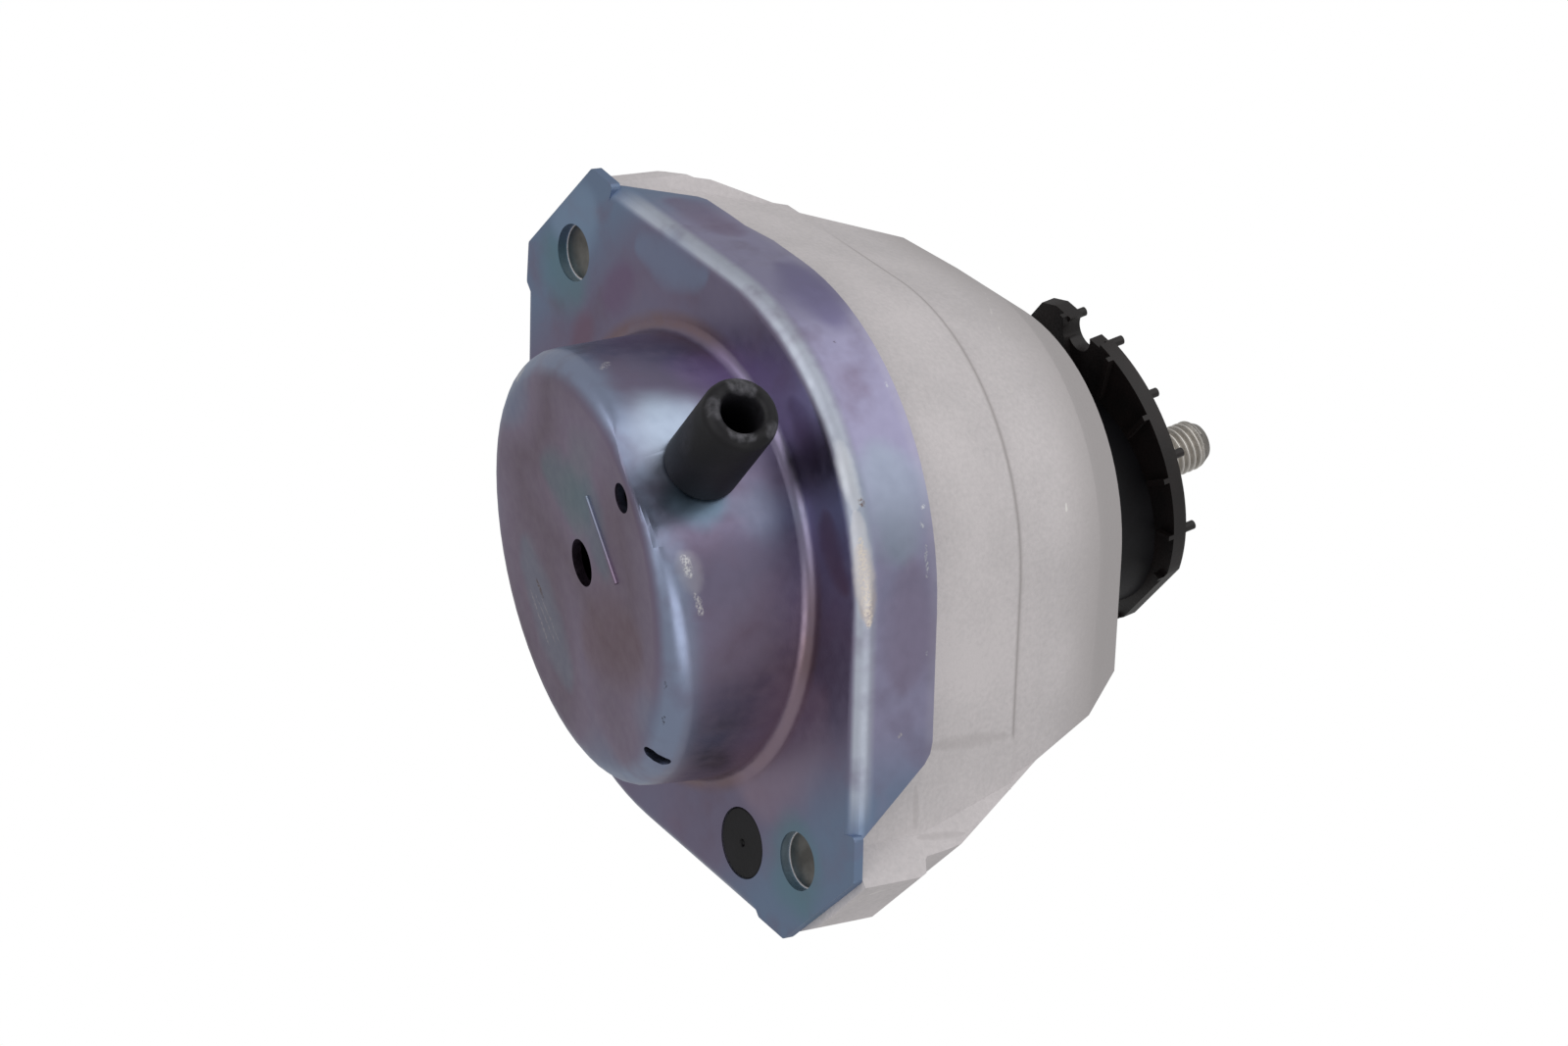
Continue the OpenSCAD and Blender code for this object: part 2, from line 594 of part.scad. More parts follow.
module main_spring() {
    inner = bore_r - ring_t;
    color("black") difference() {
        rotate_extrude() polygon([[inner, z_ring], [inner, z_stop - ring_t], [throat_r, z_stop - ring_t],
            [throat_r, z_stop + 8], [mouth_r, z_stop + 14], [mouth_r, rim_z - 1],
            [mouth_r - 0.3, rim_z + 1.5], [mouth_r - 2.5, rim_z + 3.2], [mouth_r - 5, rim_z + 2.6],
            [boot_r + 5, rim_z + 5], [boot_r + 1.5, rim_z + 11], [boot_r, rim_z + 13],
            [boot_r, core_top_z + 8], [0, core_top_z + 8], [0, dome_z], [core_r - 1, dome_z],
            [dome_r, dome_z - 1.5], [dome_r + 9, dome_z - 13], [inner - 5, z_ring + 9],
            [inner - 2.2, z_ring + 3], [inner - 2, z_ring]]);
        core_form();
        above_core();
    }
}

module core() {
    color("lightgray") difference() {
        union() {
            difference() {
                core_form();
                above_core();
            }
            on_lean() translate([0, 0, -4]) cylinder(h = seat_h + 4, r = seat_r);
        }
        on_lean() translate([0, 0, seat_h - stud_root_l]) cylinder(h = stud_root_l + 5, r = stud_r + 0.3);
    }
}

module stud() {
    neck_r = stud_r - 0.5;
    color("lightsteelblue") on_lean() translate([0, 0, seat_h]) rotate_extrude() polygon([[0, -stud_root_l],
        [stud_r - 0.6, -stud_root_l], [stud_r + 0.3, 0.9 - stud_root_l], [stud_r + 0.3, -1.2],
        [neck_r, -0.4], [neck_r, stud_neck - 0.5], [stud_r, stud_neck],
        [stud_r, stud_l - 1.3], [stud_r - 1.25, stud_l], [0, stud_l]]);
}

// Angle and distance of each locating peg, from the middle of the cap's round edge.
pegs = [[136, 31], [157.5, 30.8], [181.5, 29.8], [205.5, 30], [234, 30.8], [-66, 30]];
module cap_outline() {
    difference() {
        intersection() {
            union() {
                translate(cap_at) circle(cap_r);
                translate(cap_at) rotate(135.5) polygon([[0, -10], [cap_r + tab_out - 1, -7],
                    [cap_r + tab_out, -1], [cap_r + tab_out - 1.2, 3.2], [cap_r - 3, 4.5], [0, 4.5]]);
            }
            translate([-cap_r * 2, -flat_low]) square([cap_r * 4, flat_low + flat_high]);
        }
        translate(cap_at) rotate(146.2) translate([cap_r - 1.9, 0]) circle(notch_r);
        translate(cap_at) rotate(152.5) translate([cap_r - 0.9, -3]) square([5, 6]);
    }
}
module ribs() {
    intersection() {
        cap_outline();
        difference() {
            for (i = [0:rib_n - 1]) rotate(360 / rib_n * i) translate([boot_r + 3, -0.5]) square([cap_r, 1]);
            circle(boot_r + 3);
        }
    }
}
module stop_cap() {
    color("dimgray") on_lean() difference() {
        union() {
            linear_extrude(cap_t) cap_outline();
            translate([0, 0, -rib_h]) linear_extrude(rib_h + 0.5) ribs();
            for (p = pegs) translate(cap_at) rotate(p[0]) translate([p[1], 0, cap_t - 1])
                cylinder(h = peg_h + 1, r = peg_r);
        }
        translate([0, 0, -3]) cylinder(h = cap_t + 6, r = seat_r + 0.2);
    }
}

base_plate();
housing();
ear_pins();
locating_plug();
hose_socket();
air_chamber();
return_spring();
plunger();
switching_membrane();
membrane_ring();
rolling_diaphragm();
channel_lower();
decoupler();
channel_upper();
seal_ring();
outer_ring();
main_spring();
core();
stud();
stop_cap();
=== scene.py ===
import bpy
import json
import math
from mathutils import Matrix, Vector

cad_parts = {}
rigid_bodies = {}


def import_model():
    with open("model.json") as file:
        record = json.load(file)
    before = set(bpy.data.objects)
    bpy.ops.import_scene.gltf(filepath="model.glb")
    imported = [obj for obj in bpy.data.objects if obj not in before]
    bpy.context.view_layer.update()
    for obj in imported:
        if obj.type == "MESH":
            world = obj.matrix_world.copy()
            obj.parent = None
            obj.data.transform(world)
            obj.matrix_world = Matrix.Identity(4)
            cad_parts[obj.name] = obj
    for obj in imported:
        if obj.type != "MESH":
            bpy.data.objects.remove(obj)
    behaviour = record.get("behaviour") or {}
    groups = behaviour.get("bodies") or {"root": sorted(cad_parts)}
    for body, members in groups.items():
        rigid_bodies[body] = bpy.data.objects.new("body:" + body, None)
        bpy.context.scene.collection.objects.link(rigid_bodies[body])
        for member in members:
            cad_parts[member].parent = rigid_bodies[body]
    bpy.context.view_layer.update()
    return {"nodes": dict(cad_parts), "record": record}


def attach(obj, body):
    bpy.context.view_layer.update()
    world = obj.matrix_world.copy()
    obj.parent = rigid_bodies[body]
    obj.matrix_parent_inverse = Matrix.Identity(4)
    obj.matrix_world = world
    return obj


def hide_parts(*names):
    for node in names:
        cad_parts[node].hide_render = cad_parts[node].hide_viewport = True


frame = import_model()
nodes = frame["nodes"]
mm = 0.001
mergeDistance = 0.002 * mm      # points closer than this are one
print("frame loaded:", len(nodes), "CAD nodes")


def linearColor(hexColor):
    parts = [int(hexColor[i:i + 2], 16) / 255 for i in (1, 3, 5)]
    return tuple(c / 12.92 if c <= 0.04045 else ((c + 0.055) / 1.055) ** 2.4 for c in parts) + (1,)


def deselectAll():
    if bpy.context.object and bpy.context.object.mode == "EDIT":
        bpy.ops.object.mode_set(mode="OBJECT")
    bpy.ops.object.select_all(action="DESELECT")


def makeActive(piece):
    deselectAll()
    piece.select_set(True)
    bpy.context.view_layer.objects.active = piece


def applyModifier(piece, kind, **settings):
    makeActive(piece)
    modifier = piece.modifiers.new(kind.lower(), kind)
    for key, value in settings.items():
        setattr(modifier, key, value)
    bpy.ops.object.modifier_apply(modifier=modifier.name)


def findMount(name):
    return next(mount for mount in frame["record"]["mounts"] if mount["name"] == name)


def copyOfNode(nodeName, pieceName, flatAngle=0.4):
    # a merged copy of a CAD node's loose triangles; facets within flatAngle degrees become one face
    makeActive(nodes[nodeName])
    bpy.ops.object.duplicate()
    piece = bpy.context.object
    piece.name = pieceName
    piece.data.name = pieceName
    bpy.ops.object.parent_clear(type="CLEAR_KEEP_TRANSFORM")
    for key in list(piece.keys()):
        if key.startswith("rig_"):
            del piece[key]
    piece.data.materials.clear()
    bpy.ops.object.mode_set(mode="EDIT")
    bpy.ops.mesh.select_all(action="SELECT")
    bpy.ops.mesh.remove_doubles(threshold=mergeDistance)
    bpy.ops.mesh.customdata_custom_splitnormals_clear()
    bpy.ops.mesh.dissolve_limited(angle_limit=math.radians(flatAngle))
    bpy.ops.object.mode_set(mode="OBJECT")
    return piece


def smooth(piece, angle):
    makeActive(piece)
    bpy.ops.object.shade_smooth_by_angle(angle=math.radians(angle))


def roundEdges(piece, width, segments=2, angle=28, smoothAngle=38):
    # edges that turn by more than angle get a bevel of this width in mm
    applyModifier(piece, "BEVEL", width=width * mm, segments=segments, limit_method="ANGLE",
                  angle_limit=math.radians(angle), use_clamp_overlap=True, miter_outer="MITER_ARC")
    smooth(piece, smoothAngle)
    applyModifier(piece, "WEIGHTED_NORMAL", keep_sharp=True, weight=80)


def lathe(pieceName, profile, segments, fillEnds=True):
    # profile: (radius, height) pairs in mm; a circle is extruded and scaled from one to the next,
    # and a profile that ends where it began has no ends to fill
    deselectAll()
    radius, height = profile[0]
    bpy.ops.mesh.primitive_circle_add(vertices=segments, radius=radius * mm, fill_type="NOTHING",
                                      location=(0, 0, height * mm))
    piece = bpy.context.object
    piece.name = pieceName
    piece.data.name = pieceName
    bpy.ops.object.transform_apply(location=True, rotation=True, scale=True)
    bpy.ops.object.mode_set(mode="EDIT")
    bpy.ops.mesh.select_all(action="SELECT")
    for nextRadius, nextHeight in profile[1:]:
        factor = nextRadius / radius
        bpy.ops.mesh.extrude_edges_move(
            TRANSFORM_OT_translate={"value": (0, 0, (nextHeight - height) * mm)})
        bpy.ops.transform.resize(value=(factor, factor, 1), center_override=(0, 0, nextHeight * mm))
        radius, height = nextRadius, nextHeight
    bpy.ops.mesh.select_all(action="SELECT")
    bpy.ops.mesh.remove_doubles(threshold=mergeDistance)
    if fillEnds:
        bpy.ops.mesh.select_all(action="DESELECT")
        bpy.ops.mesh.select_non_manifold(extend=False, use_boundary=True, use_wire=False,
                                         use_multi_face=False, use_non_contiguous=False, use_verts=False)
        bpy.ops.mesh.fill_holes(sides=0)
    bpy.ops.mesh.select_all(action="SELECT")
    bpy.ops.mesh.normals_make_consistent(inside=False)
    bpy.ops.object.mode_set(mode="OBJECT")
    return piece


def place(piece, matrix):
    makeActive(piece)
    piece.matrix_world = matrix
    bpy.ops.object.transform_apply(location=True, rotation=True, scale=True)


def standOn(piece, foot, axis):
    # from upright at the origin to foot, along axis
    turn = Vector((0, 0, 1)).rotation_difference(axis).to_matrix().to_4x4()
    place(piece, Matrix.Translation(foot) @ turn)


def finishPiece(piece, material, nodeName):
    piece.data.materials.clear()
    piece.data.materials.append(material)
    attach(piece, "root")
    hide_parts(nodeName)
    print("piece", piece.name, len(piece.data.polygons), "faces")


def newMaterial(name):
    material = bpy.data.materials.new(name)
    material.use_nodes = True
    material.node_tree.nodes.clear()
    output = material.node_tree.nodes.new("ShaderNodeOutputMaterial")
    shader = material.node_tree.nodes.new("ShaderNodeBsdfPrincipled")
    material.node_tree.links.new(shader.outputs[0], output.inputs["Surface"])
    return material, shader


def addNode(material, kind, settings=None, links=None):
    # a number or a capital picks a socket, a small letter sets a property of the node
    node = material.node_tree.nodes.new(kind)
    for key, value in (settings or {}).items():
        if isinstance(key, int) or key[0].isupper():
            node.inputs[key].default_value = value
        else:
            setattr(node, key, value)
    for key, source in (links or {}).items():
        material.node_tree.links.new(source, node.inputs[key])
    return node


def join(material, source, target):
    material.node_tree.links.new(source, target)


def addBump(material, shader, height, strength, distance):
    # distance in mm
    bump = addNode(material, "ShaderNodeBump", {"Strength": strength, "Distance": distance * mm},
                   {"Height": height})
    join(material, bump.outputs[0], shader.inputs["Normal"])


def colorStops(node, stops):
    ramp = node.color_ramp
    while len(ramp.elements) < len(stops):
        ramp.elements.new(0.5)
    for element, (position, color) in zip(ramp.elements, stops):
        element.position = position
        element.color = linearColor(color)


def addTouches(material, where, color, touches, breaks=None):
    # each touch is a soft ellipse round two points: from and to in mm, half width in mm, colour, amount;
    # breaks is a mask that leaves it broken
    for start, end, halfWidth, tint, amount in touches:
        length = (Vector(end) - Vector(start)).length
        reach = math.hypot(length, 2 * halfWidth) * mm
        ends = [addNode(material, "ShaderNodeVectorMath", {"operation": "DISTANCE", 1: Vector(point) * mm},
                        {0: where}) for point in (start, end)]
        total = addNode(material, "ShaderNodeMath", {"operation": "ADD"},
                        {0: ends[0].outputs["Value"], 1: ends[1].outputs["Value"]})
        zone = addNode(material, "ShaderNodeMapRange", {"interpolation_type": "SMOOTHSTEP",
                       "From Min": length * mm, "From Max": reach, "To Min": amount, "To Max": 0.0},
                       {"Value": total.outputs[0]})
        if breaks:
            zone = addNode(material, "ShaderNodeMath", {"operation": "MULTIPLY"},
                           {0: zone.outputs[0], 1: breaks})
        mixed = addNode(material, "ShaderNodeMix", {"data_type": "RGBA", 7: linearColor(tint)},
                        {0: zone.outputs[0], 6: color})
        color = mixed.outputs[2]
    return color


def speckles(material, coordinates, size, low, high):
    # a mask of uneven spots, size in mm
    noise = addNode(material, "ShaderNodeTexNoise", {"Scale": 1000 / size, "Detail": 3.0},
                    {"Vector": coordinates})
    return addNode(material, "ShaderNodeMapRange", {"From Min": low, "From Max": high},
                   {"Value": noise.outputs["Fac"]}).outputs[0]


def window(material, measure, edges):
    # 1 between the middle two of four edges in mm, and soft down to 0 at the outer two
    rise = addNode(material, "ShaderNodeMapRange", {"interpolation_type": "SMOOTHSTEP",
                   "From Min": edges[0] * mm, "From Max": edges[1] * mm}, {"Value": measure})
    fall = addNode(material, "ShaderNodeMapRange", {"interpolation_type": "SMOOTHSTEP",
                   "From Min": edges[2] * mm, "From Max": edges[3] * mm, "To Min": 1.0, "To Max": 0.0},
                   {"Value": measure})
    return addNode(material, "ShaderNodeMath", {"operation": "MULTIPLY"},
                   {0: rise.outputs[0], 1: fall.outputs[0]}).outputs[0]


def wandering(material, coordinates, size, amount):
    # the coordinates pushed about by noise, both in mm, so that borders drawn with them are uneven
    noise = addNode(material, "ShaderNodeTexNoise", {"Scale": 1000 / size, "Detail": 3.0},
                    {"Vector": coordinates})
    push = addNode(material, "ShaderNodeVectorMath", {"operation": "MULTIPLY_ADD",
                   1: (amount * mm,) * 3, 2: (-amount / 2 * mm,) * 3}, {0: noise.outputs["Color"]})
    moved = addNode(material, "ShaderNodeVectorMath", {"operation": "ADD"},
                    {0: coordinates, 1: push.outputs[0]})
    return moved.outputs[0]


# Deep-drawn steel sheet with blue zinc plate: the thin passivation film shows violet, blue and teal
# in broad clouds over a satin surface. The film patches are where it came out thicker or thinner,
# but the one below the hose socket is painted shade and reflection of the sleeve; the pale bands on the
# fold of the wings and round the edge of the cup, and some of the glints, are painted highlights;
# the wear is where the part has been handled.
zincSheetLook = {
    "violet": "#8f8098", "plum": "#7d6c7f", "blue": "#8795b2", "teal": "#7f929a",
    "cloud": 42.0, "ripple": 2.6, "roughness": 0.36, "glossSpread": (-0.04, 0.06), "bump": (0.05, 0.3),
    "faceHeight": -24.4, "faceSlope": 0.2162,                   # plane of the cup's closed end
    "stretched": (0.0, 0.3, 3.0, 5.0), "dulled": 0.2,           # the fold's skin is drawn rough
    # size and push of the noise that makes borders uneven, in mm
    "filmWander": (20.0, 9.0), "glintWander": (3.0, 1.5), "wearWander": (1.4, 1.4),
    # size of the spots in mm, and the noise values between which they fade in
    "bandBreaks": (9.0, 0.1, 0.5), "wearBreaks": (0.45, 0.40, 0.60),
    "bands": [  # windows in mm on what is measured, then colour and amount
        ({"radius": (37.5, 41.0, 200, 210)}, "#8a85a0", 0.75),                          # flat of the plate
        ({"height": (1.5, 5.0, 200, 210)}, "#aeabca", 0.85),                            # wings
        ({"alongY": (50.0, 66.0, 200, 210)}, "#8399b6", 0.9),                           # ears
        ({"depth": (-0.2, 1.4, 3.5, 9.5), "radius": (29, 33, 60, 61)}, "#a3b4d0", 0.7),  # painted highlight along the rounded edge of the cup
        ({"radius": (41.0, 42.8, 43.6, 46.4), "alongY": (14, 34, 60, 61)}, "#94705f", 0.5),
        ({"height": (0.0, 0.6, 2.0, 4.6), "alongY": (-2, -1, 58, 68)}, "#ccd3df", 0.85),  # painted highlight: a pale band along the fold of the wings
        ({"height": (14.6, 16.6, 30, 31), "radius": (50, 52, 70, 71)}, "#b9b6cc", 0.5),
    ],
    "film": [
        ((-38, 13, -22), (-40, 1, -18), 13, "#c4d4ea", 0.9),    # flat beside the hose socket
        ((-40, -5, -25), (-39, -9, -16), 7.5, "#7d9ab0", 0.8),   # painted shade and reflection of the sleeve, on the wall below the socket
        ((-38, -12, -10), (-39, -10, -6), 8, "#97a9c2", 0.5),
        ((-34, 23, -8), (-36, 17, -4), 9, "#a894c2", 0.7),
        ((-4, 17, -25), (-16, 5, -27), 9, "#66808a", 0.6),       # round the holes
        ((-20, 8, -29), (-14, -6, -28), 9, "#6a8392", 0.5),
        ((4, -12, -23), (-16, -22, -28), 13, "#7d6168", 0.5),
        ((20, 14, -20), (22, -14, -20), 9, "#8392a4", 0.5),
        ((8, -45, -1), (-24, -43, -1), 14, "#b49fb2", 0.5),       # pink above the plug
        ((-46, -14, 0), (-44, -30, 0), 5, "#6f4650", 0.45),
        ((6, 66, 0), (4, 58, 0), 10, "#6d9aa0", 0.5),             # round the bolt holes
        ((4, -70, 0), (-2, -58, 0), 11, "#6d9aa0", 0.5),
        ((-14, 52, 0), (-6, 48, 0), 7, "#86708f", 0.7),
        ((4, 50, 0), (10, 48, 0), 6, "#8a6a7c", 0.6),
        ((-20, 54, 0), (-38, 38, 0), 6, "#8ea3c2", 0.5),
        ((-57, -8, 8), (-51, -27, 9), 10, "#a9b8c8", 0.6),        # pale cloud on the wing
        ((-50, -28, 12), (-36, -46, 10), 8, "#8e7a90", 0.4),
        ((-12, 68, 0), (2, 70, 0), 8, "#9ab3d0", 0.6),
        ((-48, 8, 0), (-49, -6, 0), 5, "#5a4d68", 0.5),
        ((-53, 20, 12), (-45, 34, 13), 8, "#7d76a2", 0.6),
        ((-24, 61, 8), (-36, 48, 12), 7, "#86708f", 0.5),
    ],
    # painted highlights on the cup's edge and along the fold, and rubbed spots
    "glints": [
        ((-38.3, -15.2, -26.2), (-35.6, -21.0, -24.2), 3.5, "#e4e2e8", 0.25),    # painted highlight on the worn edge of the cup
        ((-51.6, -23.2, 1.4), (-44.4, -36.0, 2.2), 2.4, "#d2c2b8", 0.6),        # rubbed fold
        ((-3.3, 37.6, -24.0), (-7.7, 37.7, -24.4), 1.6, "#cfd2d8", 0.4),
        ((-56.0, -4, 1.6), (-54.0, -18, 1.6), 2.2, "#eef0f4", 0.5),              # painted highlight along the pale lengths of the fold
        ((-54.0, -18, 1.6), (-46.0, -34, 1.6), 2.4, "#eceaec", 0.5),
    ],
    "wear": [
        ((-38.3, -15.2, -26.2), (-36.6, -19.0, -25.2), 1.3, "#ffffff", 0.75),     # edge of the cup
        ((-35.6, -21.5, -24.6), (-33.0, -25.4, -23.2), 0.9, "#f4f1f0", 0.7),
        ((-3.3, 37.6, -24.0), (-7.7, 37.7, -24.4), 1.2, "#e4e2e4", 0.8),
        ((-32.2, 25.0, -24.9), (-30.7, 27.0, -21.7), 1.0, "#dcd8dc", 0.8),
        ((-52.2, -22.2, 1.4), (-44.0, -36.8, 2.2), 1.4, "#f0e6da", 0.8),         # rubbed fold
        ((-15.0, 64.0, 1.5), (-12.0, 68.0, 1.2), 1.2, "#e8e4de", 0.8),
        ((24.6, 6.5, -19.1), (25.1, -5.4, -19.0), 0.5, "#b9b0b6", 0.8),          # light scratches
        ((22.8, 5.0, -19.5), (21.6, -6.5, -19.7), 0.4, "#b9b0b6", 0.7),
        ((20.6, 3.0, -19.9), (19.3, -6.8, -20.2), 0.4, "#b9b0b6", 0.8),
        ((19.7, 6.6, -20.1), (19.3, 2.3, -20.2), 0.7, "#5e4436", 1.0),           # dark scratches
        ((-21.7, -32.3, -28.0), (-20.4, -33.1, -27.6), 0.35, "#4a4446", 1.0),
        ((-14.9, -36.1, -26.2), (-12.4, -37.1, -25.6), 0.4, "#4a4446", 1.0),
        ((-54.7, -16.2, 2.7), (-54.4, -17.1, 2.8), 0.9, "#7c6050", 1.0),         # rust specks
        ((-55.2, 14.9, 9.4), (-55.2, 14.6, 9.5), 0.6, "#4c3d3c", 1.0),
        ((-54.1, -18.6, 15.9), (-53.9, -19.2, 15.6), 0.6, "#e6e8ee", 1.0),       # chips on the wing
        ((-53.0, -21.4, 14.9), (-52.6, -22.3, 14.9), 0.5, "#dcdfe5", 1.0),
        ((-51.3, -25.1, 15.2), (-48.3, -30.6, 15.0), 0.5, "#d6d9df", 0.9),
        ((-40.2, -41.3, 15.2), (-39.6, -42.0, 15.2), 0.4, "#d6d9df", 0.9),
        ((-57.0, 4.8, 15.5), (-56.9, 3.9, 15.4), 0.5, "#d6d9df", 0.9),
        ((-30.8, -52.9, 9.6), (-30.6, -53.2, 9.6), 0.6, "#e6e0da", 1.0),
    ],
}


def zincSheetMaterial():
    look = zincSheetLook
    material, shader = newMaterial("zincSheet")
    coordinates = addNode(material, "ShaderNodeTexCoord").outputs["Object"]
    cloud = addNode(material, "ShaderNodeTexNoise", {"Scale": 1000 / look["cloud"], "Detail": 1.5,
                    "Roughness": 0.4, "Distortion": 0.3}, {"Vector": coordinates})
    film = addNode(material, "ShaderNodeValToRGB", None, {"Fac": cloud.outputs["Fac"]})
    colorStops(film, [(0.30, look["blue"]), (0.45, look["violet"]), (0.57, look["plum"]),
                      (0.68, look["violet"]), (0.80, look["teal"])])
    position = addNode(material, "ShaderNodeSeparateXYZ", None, {"Vector": coordinates})
    flat = addNode(material, "ShaderNodeCombineXYZ", None,
                   {"X": position.outputs["X"], "Y": position.outputs["Y"]})
    radius = addNode(material, "ShaderNodeVectorMath", {"operation": "LENGTH"}, {0: flat.outputs[0]})
    alongY = addNode(material, "ShaderNodeMath", {"operation": "ABSOLUTE"}, {0: position.outputs["Y"]})
    # depth is measured from the plane of the cup's closed end, which slopes along X
    depth = addNode(material, "ShaderNodeVectorMath", {"operation": "DOT_PRODUCT",
                    1: (-look["faceSlope"], 0, 1)}, {0: coordinates})
    depth = addNode(material, "ShaderNodeMath", {"operation": "SUBTRACT", 1: look["faceHeight"] * mm},
                    {0: depth.outputs["Value"]})
    measures = {"radius": radius.outputs["Value"], "alongY": alongY.outputs[0],
                "height": position.outputs["Z"], "depth": depth.outputs[0]}
    uneven = speckles(material, coordinates, *look["bandBreaks"])
    color = film.outputs["Color"]
    # some bands are painted highlights: along the fold of the wings and round the edge of the cup
    for windows, tint, amount in look["bands"]:
        factor = addNode(material, "ShaderNodeMath", {"operation": "MULTIPLY", 1: amount}, {0: uneven})
        for name, edges in windows.items():
            factor = addNode(material, "ShaderNodeMath", {"operation": "MULTIPLY"},
                             {0: factor.outputs[0], 1: window(material, measures[name], edges)})
        mixed = addNode(material, "ShaderNodeMix", {"data_type": "RGBA", 7: linearColor(tint)},
                        {0: factor.outputs[0], 6: color})
        color = mixed.outputs[2]
    # the film patch below the hose socket is painted shade and reflection of the sleeve
    color = addTouches(material, wandering(material, coordinates, *look["filmWander"]), color,
                       look["film"])
    # the glints are painted highlights on the cup's edge and the fold, besides rubbed spots
    color = addTouches(material, wandering(material, coordinates, *look["glintWander"]), color,
                       look["glints"])
    color = addTouches(material, wandering(material, coordinates, *look["wearWander"]), color, look["wear"],
                       speckles(material, coordinates, *look["wearBreaks"]))
    join(material, color, shader.inputs["Base Color"])
    ripple = addNode(material, "ShaderNodeTexNoise", {"Scale": 1000 / look["ripple"], "Detail": 3.0},
                     {"Vector": coordinates})
    gloss = addNode(material, "ShaderNodeMapRange", {"From Min": 0.3, "From Max": 0.7,
                    "To Min": look["roughness"] + look["glossSpread"][0],
                    "To Max": look["roughness"] + look["glossSpread"][1]},
                    {"Value": ripple.outputs["Fac"]})
    stretched = window(material, measures["height"], look["stretched"])
    gloss = addNode(material, "ShaderNodeMath", {"operation": "MULTIPLY_ADD", 1: look["dulled"]},
                    {0: stretched, 2: gloss.outputs[0]})
    join(material, gloss.outputs[0], shader.inputs["Roughness"])
    addBump(material, shader, ripple.outputs["Fac"], *look["bump"])
    shader.inputs["Metallic"].default_value = 1.0
    return material


# Aluminium die casting, blasted: matt, pale and warm, with a fine grain, a parting line round the
# body whose small step is painted in as a line of shade, and a few scratches from handling; painted
# shade also darkens the narrow end and the creases beside the ear.
castLook = {
    "light": "#e2dcdd", "dark": "#d0cbcc", "cloud": 26.0, "grain": 0.9, "grainShare": 0.5,
    "roughness": 0.62, "metallic": 0.2, "bump": (0.25, 0.4),
    # the parting line's colour is painted shade of its small step
    "partingStepShade": "#a39d9c", "partingStepShadeAmount": 0.8, "lineHeight": 41.15, "lineWidth": 1.1,
    "lineEnds": (-55, -53, 40, 56),                             # window along Y
    "nose": (50, 66, 200, 210), "noseShade": "#bdb8b8",          # painted shade: the narrow end is a little darker
    "wearWander": (1.2, 0.8),
    "wear": [
        ((-37.0, 28.5, 59.8), (-44.9, 16.2, 53.6), 0.35, "#e6e2e0", 0.6),
        ((-40.0, 24.0, 57.0), (-42.0, 21.6, 55.6), 0.5, "#e6e2e0", 0.5),
        ((-43.7, -18.8, 54.4), (-43.2, -20.2, 54.1), 0.4, "#f4f1ee", 0.9),
        ((-10.0, -75.3, 4.8), (-11.4, -75.3, 8.2), 0.5, "#eae6e4", 0.7),
        ((-48.4, 3.3, 48.6), (-48.4, 2.6, 48.2), 0.4, "#dedad8", 0.6),
        ((-50.3, 6.0, 27.0), (-50.3, 5.6, 27.2), 0.5, "#8f8b8a", 0.6),
        # the last three touches are not wear but painted shade in the creases where the wall meets the web
        ((-25.2, -54.4, 18.0), (-21.3, -53.9, 40.6), 1.8, "#b9b3b3", 0.35),   # painted shade in the soft creases beside the ear
        ((-21.0, -60.0, 16.0), (-15.0, -67.8, 16.4), 1.0, "#b8b2b2", 0.35),
        ((-14.8, -67.8, 16.6), (-14.8, -68.7, 27.1), 1.0, "#b8b2b2", 0.35),
    ],
}


